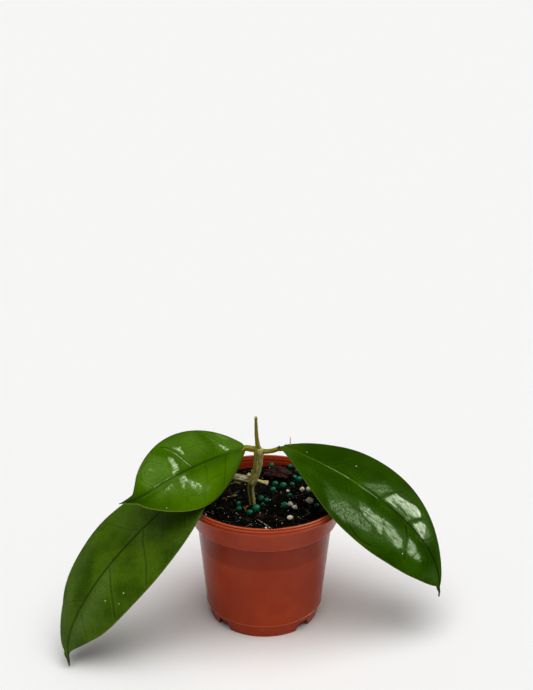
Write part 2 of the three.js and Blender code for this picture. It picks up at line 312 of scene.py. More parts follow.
cameraData = bpy.data.cameras.new("camera")
cameraData.lens, cameraData.sensor_width = camera["lens"], camera["sensor"]
cameraData.clip_end = camera["farthest"]
viewer = bpy.data.objects.new("camera", cameraData)
viewer.matrix_world = (
    Matrix.Translation(potAxis + Vector((0, -camera["back"], camera["height"])) * mm)
    @ Matrix.Rotation(math.radians(-camera["turn"]), 4, "Z")
    @ Matrix.Rotation(math.radians(90 - camera["down"]), 4, "X")
    @ Matrix.Rotation(math.radians(camera["roll"]), 4, "Z")
)
bpy.context.scene.collection.objects.link(viewer)
bpy.context.scene.camera = viewer

for name, lamp in windows.items():
    data = bpy.data.lights.new(name, "AREA")
    data.shape = "RECTANGLE"
    data.size, data.size_y = [s * mm for s in lamp["size"]]
    data.energy, data.color = lamp["power"], windowColor
    light = bpy.data.objects.new(name, data)
    angle = math.radians(lamp["azimuth"])
    spot = Vector((math.sin(angle) * lamp["away"], math.cos(angle) * lamp["away"], lamp["height"])) * mm
    light.location = potAxis + spot
    light.visible_camera = light.visible_diffuse = False
    light.rotation_euler = (Vector((0, 0, windowAim * mm)) - spot).to_track_quat("-Z", "Y").to_euler()
    bpy.context.scene.collection.objects.link(light)

data = bpy.data.lights.new("overhead", "SUN")
data.angle, data.energy = math.radians(overhead["spread"]), overhead["strength"]
light = bpy.data.objects.new("overhead", data)
light.rotation_euler = (math.radians(overhead["lean"]), 0, math.radians(180 - overhead["azimuth"]))
bpy.context.scene.collection.objects.link(light)

world = bpy.data.worlds.new("surround")
world.use_nodes = True
world.node_tree.nodes["Background"].inputs["Color"].default_value = (*surround["color"], 1)
world.node_tree.nodes["Background"].inputs["Strength"].default_value = surround["strength"]
bpy.context.scene.world = world
bpy.context.scene.view_settings.view_transform = "Standard"
bpy.context.scene.view_settings.gamma = surround["gamma"]

bm = bmesh.new()
bmesh.ops.create_grid(bm, x_segments=1, y_segments=1, size=table["size"] / 2)
floor = bpy.data.objects.new("floor", meshOf(bm, "floor"))
bpy.context.scene.collection.objects.link(floor)
dull = {"Roughness": table["roughness"], "Specular IOR Level": 0.0, "Base Color": srgb(*table["color"])}
floor.data.materials.append(Finish("pale_floor", dull).material)
floor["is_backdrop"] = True
print("camera, lights and floor made")

# pot

pot = {
    "outside": [  # radius and height in mm, up the outside and round the lip
        (35.5, 0), (36.7, 8.2), (36.95, 8.75), (37.9, 8.85), (38.35, 9.1), (38.4, 9.5), (38.2, 9.85),
        (43.9, 67.6), (44.5, 68.4), (47.2, 69.0), (47.55, 69.7), (50.6, 82.4), (51.9, 82.5), (52.4, 82.7),
        (52.5, 83.1), (52.4, 83.5), (52.1, 83.7), (52.05, 85.0), (51.85, 85.25), (51.4, 85.35), (51.3, 85.55),
        (51.4, 85.75), (51.65, 85.95), (51.65, 86.5), (51.35, 86.9), (50.95, 87), (50.55, 87), (50.2, 86.6),
    ],
    "inside": [  # and down the inside to the middle of the floor
        (49.45, 82.6), (46.3, 70.3), (45.5, 69.9), (42.8, 69.3), (42.5, 68.6), (36.8, 10.5), (36.2, 9.3),
        (35.5, 9.0), (35.1, 6.6), (0, 6.6),
    ],
    "under": [(0, 5.4), (34.2, 5.4), (33.9, 0.3), (34.2, 0)],
    "steps": 200, "soften": 0.16, "sharp": 14,  # corners past this many degrees are softened
    "notch": {"count": 4, "firstAngle": 44, "foot": 11.4, "top": 8, "height": 4.9, "out": 35, "deep": 12},
    "drain": {"count": 6, "radius": 4, "ring": 23, "height": 6, "deep": 4, "sides": 40},
}


def potMesh():
    bm = spun(pot["under"] + pot["outside"] + pot["inside"], pot["steps"])
    sharp = math.radians(pot["sharp"])
    corners = [e for e in bm.edges if e.is_manifold and e.calc_face_angle() > sharp]
    soft = {"offset": pot["soften"], "segments": 2, "profile": 0.5, "affect": "EDGES", "material": -1}
    bmesh.ops.bevel(bm, geom=corners, clamp_overlap=True, **soft)
    shell = meshOf(bm, "pot")

    cutters = bmesh.new()
    notch, drain = pot["notch"], pot["drain"]
    for k in range(notch["count"]):
        angle = math.radians(notch["firstAngle"] + 180 + 360 / notch["count"] * k)
        wedge = bmesh.ops.create_cube(cutters, size=1)["verts"]
        for corner in wedge:
            wide = notch["top"] if corner.co.z > 0 else notch["foot"]
            height = notch["height"] if corner.co.z > 0 else -1
            corner.co = (corner.co.x * notch["deep"] + notch["out"], corner.co.y * wide, height)
        bmesh.ops.rotate(cutters, verts=wedge, matrix=Matrix.Rotation(angle, 3, "Z"))
    for k in range(drain["count"]):
        angle, ring = math.radians(360 / drain["count"] * k), drain["ring"]
        size = {"radius1": drain["radius"], "radius2": drain["radius"], "depth": drain["deep"]}
        spot = Matrix.Translation((ring * math.cos(angle), ring * math.sin(angle), drain["height"]))
        bmesh.ops.create_cone(cutters, cap_ends=True, segments=drain["sides"], matrix=spot, **size)
    holes = bpy.data.objects.new("holes", meshOf(cutters, "holes"))
    body = bpy.data.objects.new("body", shell)
    for item in (holes, body):
        bpy.context.scene.collection.objects.link(item)
    cut = body.modifiers.new("cut", "BOOLEAN")
    cut.object, cut.operation, cut.solver = holes, "DIFFERENCE", "EXACT"
    cutMesh = bpy.data.meshes.new_from_object(body.evaluated_get(bpy.context.evaluated_depsgraph_get()))
    bpy.data.objects.remove(holes)
    bpy.data.objects.remove(body)
    return cutMesh


def potFinish():
    look = {
        "clay": (170, 62, 18), "deep": (156, 53, 12), "pale": (186, 86, 42),
        "edgeHighlight": (224, 128, 84), "shaded": (110, 26, 4),
        "insideShade": 0.4, "wallSlope": 0.256, "wallFoot": 28.95,  # how strong the painted shade on the inner wall is, and the border between the inner wall and the outer
        "lines": [  # painted highlights on the edges and painted shade in the grooves: height, half width, tint and strength
            (9.3, 0.45, "edgeHighlight", 0.6), (8.5, 0.5, "shaded", 0.35), (82.75, 0.5, "edgeHighlight", 0.5),
            (83.9, 0.6, "shaded", 0.4), (85.2, 0.4, "edgeHighlight", 0.4), (86.75, 0.4, "edgeHighlight", 0.45),
            (70.2, 0.4, "shaded", 0.25), (69.5, 0.4, "edgeHighlight", 0.3),
        ],
    }
    finish = Finish("terracotta_plastic", {"IOR": 1.48, "Specular IOR Level": 0.24})
    here = finish.here()
    cloud = finish.grain(here, 38, 3, 0.55)
    streaks = finish.grain(finish.stretch(here, (260, 260, 9)), 1, 3, 0.6)
    rings = finish.grain(finish.stretch(here, (6, 6, 900)), 1, 2, 0.5)
    finish.ground(finish.step(cloud, 0.35, 0.68), look["deep"], look["clay"])
    finish.paint(finish.step(streaks, 0.55, 0.8) * 0.18, look["pale"])
    dust = finish.step(finish.grain(here, 900, 2, 0.6), 0.66, 0.8)
    finish.paint(dust * 0.12, look["pale"])
    height = finish.node("SeparateXYZ", {}, {0: here}, 2) * (1 / mm)
    # painted highlights along the edges of the lip, collar and foot bead, and painted shade in the grooves
    for level, reach, tint, share in look["lines"]:
        band = finish.step(height, level - reach, level) * finish.step(height, level + reach, level)
        finish.paint(band * share, look[tint])
    # painted shade: the inner wall, below the lip, is tinted towards the shaded red
    radius = finish.apart(finish.stretch(here, (1, 1, 0)), (potAxis.x, potAxis.y, 0)) * (1 / mm)
    foot = look["wallFoot"]
    inside = finish.step(radius - height * look["wallSlope"], foot + 0.25, foot - 0.25)
    inside = inside * finish.step(height, 85, 83)
    finish.paint(inside * look["insideShade"], look["shaded"])
    finish.feed(
        roughness=0.22 + cloud * 0.08 + dust * 0.1,
        normal=finish.bump(rings * 0.5 + streaks * 0.3 + finish.grain(here, 2200, 2) * 0.2, 0.00006),
    )
    return finish


place("pot_shell", potMesh(), potFinish(), "pot_plastic", "pot", sharp=24)
print("pot made")

# potting mix

soil = {  # mm; the level at the axis, how it tilts and mounds, and the place, height and reach of a heap
    "top": 77.9, "tilt": 0.022, "mound": 0.4, "heap": (13, 43, 2.6, 19),
    "wall": 48, "bump": 0.7, "calm": 12,  # the waves of the surface calm down near the pot's wall
    "waves": [(0.31, 1.3, 0.27, -0.6), (0.35, 0.52, 0.6)],
    "edge": 47.75, "rings": 90, "steps": 200, "lean": 0.258,
    "under": [(0, 6.95), (34.7, 6.95), (35.2, 9.4), (36.45, 10.6), (42.15, 68.9), (45.85, 70.6)],
    "rough": [(0.55, 0.42, 3), (0.35, 0.95, 11), (0.2, 2.1, 5)],  # height, bumps per mm and seed
    "crowd": 0.8, "stem": (-6, -4.6, 2.4),  # the stem's place and radius at the surface
}


def soilTop(x, y):
    far = np.hypot(x, y)
    (turnX, startX, turnY, startY), (slantX, slantY, share) = soil["waves"]
    waves = np.sin(turnX * x + startX) * np.cos(turnY * y + startY) + share * np.sin(slantY * y + slantX * x)
    heapX, heapY, rise, reach = soil["heap"]
    heaped = rise * (1 - smoothed(np.hypot(x - heapX, y - heapY), 0, reach))
    level = soil["top"] + soil["tilt"] * y + soil["mound"] * (1 - (far / soil["wall"]) ** 2)
    return level + heaped + soil["bump"] * waves * smoothed(soil["wall"] - far, 0, soil["calm"])


def onMix(x, y, lift):
    return x, y, float(soilTop(x, y)) + lift


def soilMesh():
    edge, rings = soil["edge"], soil["rings"]
    surface = [(edge * (1 - k / rings) ** soil["crowd"], soil["top"]) for k in range(rings + 1)]
    mesh = meshOf(spun(soil["under"] + surface, soil["steps"]), "mix")
    points = coordinates(mesh)
    top = points[:, 2] > soil["top"] - 0.01
    x, y = points[top, 0], points[top, 1]
    far = np.hypot(x, y)
    level = soilTop(x, y)
    plan = np.stack([x, y, np.zeros(len(x))], axis=1)
    rough = sum(height * bumps(plan, scale, seed) for height, scale, seed in soil["rough"])
    points[top, 2] = level + rough * smoothed(soil["edge"] + 0.5 - far, 0, 3)
    widen = 1 + (level - soil["top"]) * soil["lean"] / soil["edge"] * smoothed(far, 30, soil["edge"])
    points[top, 0] *= widen
    points[top, 1] *= widen
    moveTo(mesh, points)
    return mesh


def soilFinish():
    look = {"black": (5, 5, 3), "brown": (17, 13, 8), "fleck": (150, 138, 118)}
    finish = Finish("moist_peat", {"Specular IOR Level": 0.03})
    here = finish.here()
    lumps = finish.grain(here, 420, 4, 0.65)
    bits = finish.cells(here, 700)
    finish.ground(finish.step(lumps, 0.45, 0.75), look["black"], look["brown"])
    finish.paint(finish.step(bits, 0.5, 1.0) * 0.45, look["brown"])
    finish.paint(finish.step(finish.grain(here, 1700, 2, 0.7), 0.66, 0.74) * 0.7, look["fleck"])
    finish.feed(
        roughness=0.62 + lumps * 0.3,
        normal=finish.bump(finish.grain(here, 900, 4, 0.7), 0.0006, 0.9),
    )
    return finish


def lumpTemplate(subdivisions, seed, squash=(1, 1, 1), rough=0.25):
    bm = bmesh.new()
    bmesh.ops.create_icosphere(bm, subdivisions=subdivisions, radius=1)
    mesh = meshOf(bm, "lump")
    points = coordinates(mesh)
    grow = 1 + rough * bumps(points, 0.9, seed) + rough * 0.6 * bumps(points, 2.3, seed + 5)
    moveTo(mesh, points * grow[:, None] * np.array(squash))
    return mesh


def gather(name, templates, spots):  # many copies in one mesh; a spot is a template's number and a matrix
    bm = bmesh.new()
    for kind, matrix in spots:
        copy = templates[kind].copy()
        copy.transform(matrix)
        bm.from_mesh(copy)
        bpy.data.meshes.remove(copy)
    return meshOf(bm, name)


def tossed(dice, spot, size):  # where a small lump goes, turned at random
    turns = [Matrix.Rotation(dice.uniform(0, 2 * math.pi), 4, axis) for axis in "ZXY"]
    return Matrix.Translation(spot) @ (turns[0] @ turns[1] @ turns[2]) @ Matrix.Scale(size, 4)


def anywhere(dice, reach):  # a random place on the mix, and how far out it is
    far, angle = reach * math.sqrt(dice.random()), dice.uniform(0, 2 * math.pi)
    return far * math.cos(angle), far * math.sin(angle), far


grains = {  # node of each loose grain, with its middle and half size in mm
    node: centreOf(node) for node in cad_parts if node.startswith(("fertilizer", "perlite", "bark_chip"))
}


def free(x, y, clear):  # true where no grain lies, nor the stem
    for middle, half in grains.values():
        if math.hypot(x - middle.x, y - middle.y) < max(half.x, half.y) * 0.85 + clear:
            return False
    stemX, stemY, radius = soil["stem"]
    return math.hypot(x - stemX, y - stemY) > radius + clear


crumbs = {  # sizes in mm, most of them near the smallest; the last shape has more faces, for big ones
    "count": 1500, "seed": 21, "reach": 48.0, "edge": 48.4, "smallest": 0.35, "range": 1.25, "rare": 2.6,
    "big": 0.8, "rough": 0.45, "lift": (-0.05, 0.45), "lean": 0.6, "lipTop": 87,
    "shapes": [(1, 1, 0.7), (1.4, 0.8, 0.6), (0.8, 0.9, 0.8), (2.1, 0.5, 0.4), (1.2, 1, 0.35)],
    "onLip": [(3.4, -51.0, 0.8), (5.1, -50.7, 0.9), (6.7, -50.5, 0.8), (8.4, -50.2, 0.9), (10.0, -49.9, 0.6)],
}


def crumbMesh():
    dice = random.Random(crumbs["seed"])
    shapes, rough = crumbs["shapes"], crumbs["rough"]
    templates = [lumpTemplate(1 if k < 4 else 2, 3 * k, shape, rough) for k, shape in enumerate(shapes)]
    spots = []
    while len(spots) < crumbs["count"]:
        x, y, far = anywhere(dice, crumbs["reach"])
        size = crumbs["smallest"] + crumbs["range"] * dice.random() ** crumbs["rare"]
        if far + size * 1.6 > crumbs["edge"] or not free(x, y, size * 0.4):
            continue
        spot = onMix(x, y, size * dice.uniform(*crumbs["lift"]))
        turn = Matrix.Rotation(dice.uniform(0, 6.28), 4, "Z")
        lean = Matrix.Rotation(dice.uniform(-crumbs["lean"], crumbs["lean"]), 4, "X")
        kind = dice.choice((0, 1, 2, 3, 4) if size > crumbs["big"] else (0, 1, 2, 3))
        spots.append((kind, Matrix.Translation(spot) @ (turn @ lean) @ Matrix.Scale(size, 4)))
    for x, y, size in crumbs["onLip"]:
        spots.append((2, tossed(dice, (x, y, crumbs["lipTop"] + size * 0.45), size)))
    return gather("crumbs", templates, spots)


fibres = {  # lengths and radius in mm
    "mix_fibres_brown": {"seed": 4, "count": 90, "length": (4, 13), "radius": 0.16},
    "mix_fibres_pale": {"seed": 9, "count": 16, "length": (3, 9), "radius": 0.11},
}
fibreReach = 46.5


def fibreMesh(seed, count, length, radius):
    dice = random.Random(seed)
    bm = bmesh.new()
    for _ in range(count):
        x, y, _ = anywhere(dice, fibreReach)
        way = dice.uniform(0, 2 * math.pi)
        long, lift = dice.uniform(*length), dice.uniform(0.1, 0.9)
        route = []
        for part in range(4):
            if math.hypot(x, y) > fibreReach + 0.6:
                break
            route.append(onMix(x, y, 0.35 + lift * math.sin(part * 1.05)))
            x, y = x + math.cos(way) * long / 3, y + math.sin(way) * long / 3
            way += dice.uniform(-0.7, 0.7)
        if len(route) > 2:
            strand = sweep("strand", route, [(0, radius * 0.6), (0.4, radius), (1, radius * 0.3)], 5, 8)
            bm.from_mesh(strand)
            bpy.data.meshes.remove(strand)
    return meshOf(bm, "fibres")


peat = soilFinish()
place("mix_body", soilMesh(), peat, "potting_mix", "potting_mix", sharp=60)
place("mix_crumbs", crumbMesh(), peat, "potting_mix", sharp=50)
print("potting mix made")


def plainFinish(name, dark, light, scale, roughness, depth=0.0001, coat=0.0, spots=None):
    finish = Finish(name, {"Coat Weight": coat, "Coat Roughness": 0.15, "Specular IOR Level": 0.12})
    here = finish.here()
    cloud = finish.grain(here, scale, 4, 0.6)
    finish.ground(finish.step(cloud, 0.35, 0.66), dark, light)
    if spots:
        finish.paint(finish.step(finish.grain(here, scale * 3.1, 2, 0.5), 0.6, 0.72), spots)
    finish.feed(
        roughness=roughness + cloud * 0.15,
        normal=finish.bump(finish.grain(here, scale * 2.3, 4, 0.6), depth),
    )
    return finish


fibreBrown = plainFinish("brown_fibre", (38, 27, 18), (92, 72, 48), 300, 0.6)
fibrePale = plainFinish("pale_fibre", (120, 108, 88), (190, 182, 164), 300, 0.55)
fibreRed = plainFinish("red_fibre", (110, 38, 20), (168, 82, 50), 400, 0.55)
for (name, kind), look in zip(fibres.items(), (fibreBrown, fibrePale)):
    place(name, fibreMesh(**kind), look, "potting_mix")

strands = {  # those that can be told apart: route in plan, radius and look
    "strand_front": ([(-4.9, -23.5), (-1.5, -26.4), (1.4, -30.6), (4.6, -33.8)], 0.33, fibrePale),
    "strand_left": ([(-39.0, -15.2), (-36.4, -14.6), (-33.4, -15.2), (-31.2, -16.4)], 0.2, fibrePale),
    "strand_red": ([(-13.4, -7.2), (-13.0, -10.4), (-12.3, -13.4), (-11.8, -15.6)], 0.3, fibreRed),
    "strand_right": ([(17.6, 1.6), (20.4, 4.4), (23.0, 8.0), (27.2, 9.6)], 0.25, fibreBrown),
}
for name, (plan, radius, look) in strands.items():
    route = [onMix(x, y, 0.7 + 0.4 * math.sin(x)) for x, y in plan]
    strand = sweep(name, route, [(0, radius * 0.6), (0.3, radius), (1, radius * 0.5)], 8, 30)
    place(name, strand, look, "potting_mix")

flecks = {  # sizes in mm; the last few are placed one by one, two of them on the lip
    "count": 300, "seed": 5, "reach": 46.5, "smallest": 0.14, "range": 0.34, "rare": 3, "lift": 0.6,
    "placed": [(0.9, -33.6, 77.803, 0.85), (10.9, -30.0, 78.983, 0.5), (-35.9, -34.6, 87.4, 0.7),
               (3.0, -50.6, 87.4, 0.75)],
}


def fleckMesh():
    dice = random.Random(flecks["seed"])
    templates = [lumpTemplate(1, 40 + k, (1, 0.8, 0.6), 0.4) for k in range(3)]
    spots = []
    while len(spots) < flecks["count"]:
        x, y, _ = anywhere(dice, flecks["reach"])
        size = flecks["smallest"] + flecks["range"] * dice.random() ** flecks["rare"]
        if free(x, y, size):
            spots.append((dice.randrange(3), tossed(dice, onMix(x, y, flecks["lift"]), size)))
    for x, y, height, size in flecks["placed"]:
        spots.append((1, tossed(dice, (x, y, height), size)))
    return gather("flecks", templates, spots)


perliteFinish = plainFinish(
    "perlite_white", (238, 228, 192), (255, 252, 236), 700, 0.8, 0.0004, spots=(206, 190, 132))
place("perlite_flecks", fleckMesh(), perliteFinish, "perlite")

mossBits = [  # place in plan, length, width and turn
    (-20.1, 4.0, 5.2, 2.4, 40), (-25.9, 3.6, 4.2, 1.5, 10), (-28.5, -11.6, 4.4, 1.6, 5),
    (-18.7, 23.4, 5.0, 1.8, -10), (-11.4, -9.2, 4.0, 2.0, 60), (21.9, -29.0, 2.2, 1.0, 0),
]
mossFinish = plainFinish("olive_moss", (70, 76, 22), (128, 128, 52), 500, 0.6, 0.0002)
spots = []
for x, y, length, width, turn in mossBits:
    size = Matrix.Diagonal((length / 2, width / 2, 0.8, 1))
    turned = Matrix.Translation(onMix(x, y, 0.5)) @ Matrix.Rotation(math.radians(turn), 4, "Z")
    spots.append((0, turned @ size))
place("moss_bits", gather("moss", [lumpTemplate(3, 8, rough=0.4)], spots), mossFinish, "potting_mix")
print("fibres and flecks made")

# prills, perlite and bark

# the lighter spots of the prills and the bark are painted highlights
prillFinish = plainFinish(
    "prill_green", (0, 84, 58), (0, 128, 88), 500, 0.42, 0.00008, coat=0.12, spots=(8, 150, 106))
barkFinish = plainFinish("bark_brown", (18, 4, 4), (62, 17, 13), 260, 0.7, 0.0008, spots=(104, 36, 28))
for node, (middle, half) in grains.items():
    seed = sum(ord(letter) for letter in node)  # each grain has its own shape
    if node.startswith("fertilizer"):
        mesh = lumpTemplate(4, seed, rough=0.05)
        finish, slotName = prillFinish, "prill"
    elif node.startswith("perlite"):
        mesh = lumpTemplate(5, seed, rough=0.36)
        points = coordinates(mesh)
        pits = np.clip(bumps(points, 3.2, seed) - 0.15, 0, 1) * 0.35
        moveTo(mesh, points * (1 - pits)[:, None])
        finish, slotName = perliteFinish, "perlite"
    else:
        mesh = lumpTemplate(5, seed, rough=0.4)
        points = coordinates(mesh)
        layers = 0.2 * bumps(points * np.array([1, 1, 4]), 1.7, seed) + 0.09 * bumps(points, 5, seed)
        moveTo(mesh, points * (1 + layers)[:, None])
        finish, slotName = barkFinish, "bark"
    points = coordinates(mesh)
    low, high = points.min(axis=0), points.max(axis=0)
    fitted = (points - (low + high) / 2) * (2 * np.array(half) / (high - low))
    moveTo(mesh, fitted + np.array(middle))
    place(node + "_grain", mesh, finish, slotName, node, sharp=50)
print("grains made")

# stems and stalks


def stemFinish(name, look, streaks=1.0, roughness=0.55, depth=0.0003):
    finish = Finish(name, {"Specular IOR Level": 0.15})
    bark = finish.attribute("bark", "Vector")
    lines = finish.grain(finish.stretch(bark, (1.6, 1.6, 0.14)), 1.5, 4, 0.65, 0.4)
    cloud = finish.grain(bark, 0.5, 3, 0.5)
    fine = finish.grain(finish.stretch(bark, (4, 4, 1.2)), 2.0, 3, 0.6)
    finish.ground(finish.step(cloud, 0.35, 0.65), look["dull"], look["fresh"])
    finish.paint(finish.step(lines, 0.5, 0.62) * streaks, look["pale"])
    finish.paint(finish.step(lines, 0.46, 0.36) * streaks, look["dark"])
    if "left" in look:  # a stem greener on its left and darker below a node, with a painted highlight down its right edge
        across = finish.node("SeparateXYZ", {}, {0: bark}, 1) + (lines - 0.5) * 1.6
        finish.paint(finish.step(across, -0.35, -0.85) * 0.8, look["left"])
        line = finish.step(across, -0.75, -0.5) * finish.step(across, 0.05, -0.35)
        finish.paint(line * look["line"], look["dark"])
        # painted highlight: a pale band down the stem's right edge
        finish.paint(finish.step(across, 0.9, 1.5) * 0.7, look["edge"])
        low = finish.step(finish.attribute("along"), look["node"] + 0.015, look["node"] - 0.015)
        middle = finish.step(across, -1.5, -0.8) * finish.step(across, 1.3, 0.5)
        finish.paint(low * middle * 0.85, look["low"])
    finish.paint(finish.step(fine, 0.62, 0.72) * 0.35, look["dark"])
    finish.feed(
        roughness=roughness + cloud * 0.15,
        normal=finish.bump(lines * 0.7 + fine * 0.3, depth, 0.8),
    )
    return finish


woody = stemFinish("grey_green_stem", {
    "dull": (150, 142, 76), "fresh": (160, 154, 80), "pale": (198, 190, 134), "dark": (64, 60, 26),
    # edge is the colour of the painted highlight down the right side
    "left": (122, 118, 26), "line": 0.7, "edge": (200, 192, 126), "low": (56, 48, 20), "node": 0.69,
})
green = stemFinish("yellow_green_stalk", {
    "dull": (118, 112, 0), "fresh": (136, 130, 2), "pale": (164, 158, 34), "dark": (80, 74, 0),
}, 0.6, 0.45, 0.0001)
beige = stemFinish("beige_stalk", {
    "dull": (158, 146, 100), "fresh": (176, 166, 122), "pale": (232, 224, 192), "dark": (90, 74, 40),
})
dried = stemFinish("dried_stalk", {
    "dull": (208, 190, 108), "fresh": (222, 208, 134), "pale": (248, 240, 200), "dark": (134, 106, 48),
}, 0.7, 0.6)


def ridged(ridges, depth, seed):
    def relief(along, turn, ring):
        wave = np.cos(ridges * turn + 1.6 * np.sin(3.1 * along + seed)) * depth
        return wave + depth * 0.9 * bumps(ring * np.array([1.5, 1.5, 0.9]), 1, seed)
    return relief


stalks = {
    "main_stem": {
        "route": [
            (-5.6, -4, 36), (-6.6, -4.6, 60), (-7.5, -4.8, 77), (-9, -3, 90), (-7.6, -2.2, 95.4),
            (-5.2, -2, 102), (-4.1, -2, 112), (-4, -2, 117.6)],
        "radii": [(0, 0.2), (0.004, 1.6), (0.5, 1.85), (0.63, 1.9), (0.66, 2.15), (0.69, 2.75), (0.72, 3.1),
                  (0.76, 2.9), (0.82, 2.85), (0.88, 2.9), (0.93, 3.0), (0.965, 3.25), (0.99, 2.8), (1, 0.3)],
        "relief": ridged(5, 0.26, 2), "finish": woody, "slot": "stem_woody", "steps": 260, "sides": 40,
    },
    "new_shoot": {
        "route": [(-4, -2, 115), (-4.7, -2, 119.4), (-5.4, -2, 126), (-5.7, -2, 133), (-5.8, -2, 139)],
        "radii": [(0, 2.2), (0.08, 1.95), (0.15, 1.5), (0.3, 1.22), (0.55, 1.08), (0.9, 0.88), (0.94, 1.0),
                  (0.975, 0.75), (1, 0.2)],
        "relief": ridged(4, 0.06, 5), "finish": green, "slot": "stem_green", "steps": 110, "sides": 28,
    },
    "petiole_upper_left": {
        "route": [(-5, -2, 116), (-8.5, -2.4, 116.6), (-12, -3.2, 117.6), (-17, -8, 117)],
        "radii": [(0, 2.0), (0.5, 1.85), (0.72, 1.45), (0.9, 0.7), (1, 0.3)],
        "relief": ridged(3, 0.12, 9), "finish": green, "slot": "stem_green", "steps": 90, "sides": 28,
    },
    "petiole_upper_right": {
        "route": [(-4, -2, 115.2), (0, -2, 114.7), (4, -2, 115.1), (9.5, -2.7, 117), (15, -4, 116)],
        "radii": [(0, 1.7), (0.3, 1.45), (0.6, 1.35), (0.74, 1.35), (0.9, 0.7), (1, 0.3)],
        "relief": ridged(3, 0.1, 12), "finish": green, "slot": "stem_green", "steps": 110, "sides": 28,
    },
    "petiole_lower_left": {
        "route": [(-9, -2, 94.5), (-15, -2, 96), (-24, -3.6, 97.8), (-38, -8.4, 97.2), (-43, -14, 96.6)],
        "radii": [(0, 2.4), (0.2, 2.25), (0.4, 1.95), (0.6, 1.8), (0.8, 1.7), (0.93, 0.9), (1, 0.4)],
        "relief": ridged(4, 0.2, 15), "finish": beige, "slot": "stem_woody", "steps": 150, "sides": 32,
    },
    "petiole_stub": {
        "route": [(-8, -2, 94.9), (-4.4, -2.8, 94.6), (-1.6, -3, 93.8), (2.2, -3.4, 93)],
        "radii": [(0, 1.3), (0.4, 0.85), (0.6, 1.0), (0.8, 1.3), (0.93, 1.7), (0.985, 1.75), (1, 1.3)],
        "relief": ridged(4, 0.12, 20), "finish": dried, "slot": "stub_dry", "steps": 90, "sides": 28,
    },
}
for node, stalk in stalks.items():
    finish, slotName = stalk.pop("finish"), stalk.pop("slot")
    place(node + "_stalk", sweep(node, **stalk), finish, slotName, node, sharp=60)

paleHair = plainFinish("pale_hair", (178, 150, 142), (214, 190, 184), 400, 0.5)
hair = {
    "route": [(15.9, -2.6, 119.6), (15.95, -2, 122.4), (15.9, -2, 125)],
    "radii": [(0, 0.32), (0.6, 0.26), (1, 0.14)], "sides": 8, "steps": 14,
}
place("hair_upper_right", sweep("hair", **hair), paleHair, "stem_green")
glandFinish = plainFinish("dark_gland", (6, 4, 3), (16, 10, 8), 900, 0.3, 0.0001, coat=0.2)
scarAndGlint = plainFinish("pale_scar_and_glint", (196, 186, 148), (232, 226, 196), 600, 0.6)
marks = {  # middle, half size and look of small marks on the stalks
    "gland": ((8.9, -3.2, 118.4), (1.1, 1.0, 0.85), glandFinish, "stem_green"),
    # a painted highlight: a small pale lump standing for the glint on the dark gland
    "gland_glint": ((8.5, -4.0, 119.0), (0.38, 0.3, 0.34), scarAndGlint, "stem_green"),
    "node_scar": ((-10.2, -4.2, 99.4), (1.3, 0.8, 1.3), scarAndGlint, "stem_woody"),
    "stub_chip": ((0.6, -4.1, 93.9), (0.9, 0.6, 0.8), scarAndGlint, "stub_dry"),
    "shoot_spot": ((-6.0, -2.7, 138.2), (0.4, 0.35, 0.6), scarAndGlint, "stem_green"),
}
for name, (middle, half, look, slotName) in marks.items():
    lump = lumpTemplate(3, len(name))
    lump.transform(Matrix.Translation(middle) @ Matrix.Diagonal((*half, 1)))
    place(name, lump, look, slotName)

rootFinish = plainFinish("pale_root", (168, 150, 116), (212, 198, 166), 400, 0.7, 0.0002)
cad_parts["roots"].data.materials.clear()
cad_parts["roots"].data.materials.append(rootFinish.material)
print("stems and stalks made")

# leaves

blade = {  # mm; a pair is a height and how far it reaches
    "rows": 300, "columns": 110, "crowded": 0.55, "crowdedEdge": 0.3, "start": 0.012,
    "thickness": 1.3, "edgeThickness": 0.6, "round": 0.85, "roundOver": 1.1, "rimDrop": 0.35, "rimReach": 1.6,
    "veinWidth": 0.5, "haloAway": 1.1, "soften": 0.9, "pillowReach": 3.2, "grooveReach": 0.55,
    "ribGroove": (0.45, 0.8), "shoulder": (0.3, 1.1), "shoulderAway": 2.0, "keel": (0.9, 1.3),
    "veinKeel": (0.22, 0.7), "faint": 0.8, "calmEdge": 5, "wave": 0.9, "roughness": 0.5, "ribTint": 0.5,
    "puckers": (0.26, 0.13, 1), "finePuckers": (0.75, 0.28, 1), "waves": (0.035, 0.05, 1),  # per mm
}
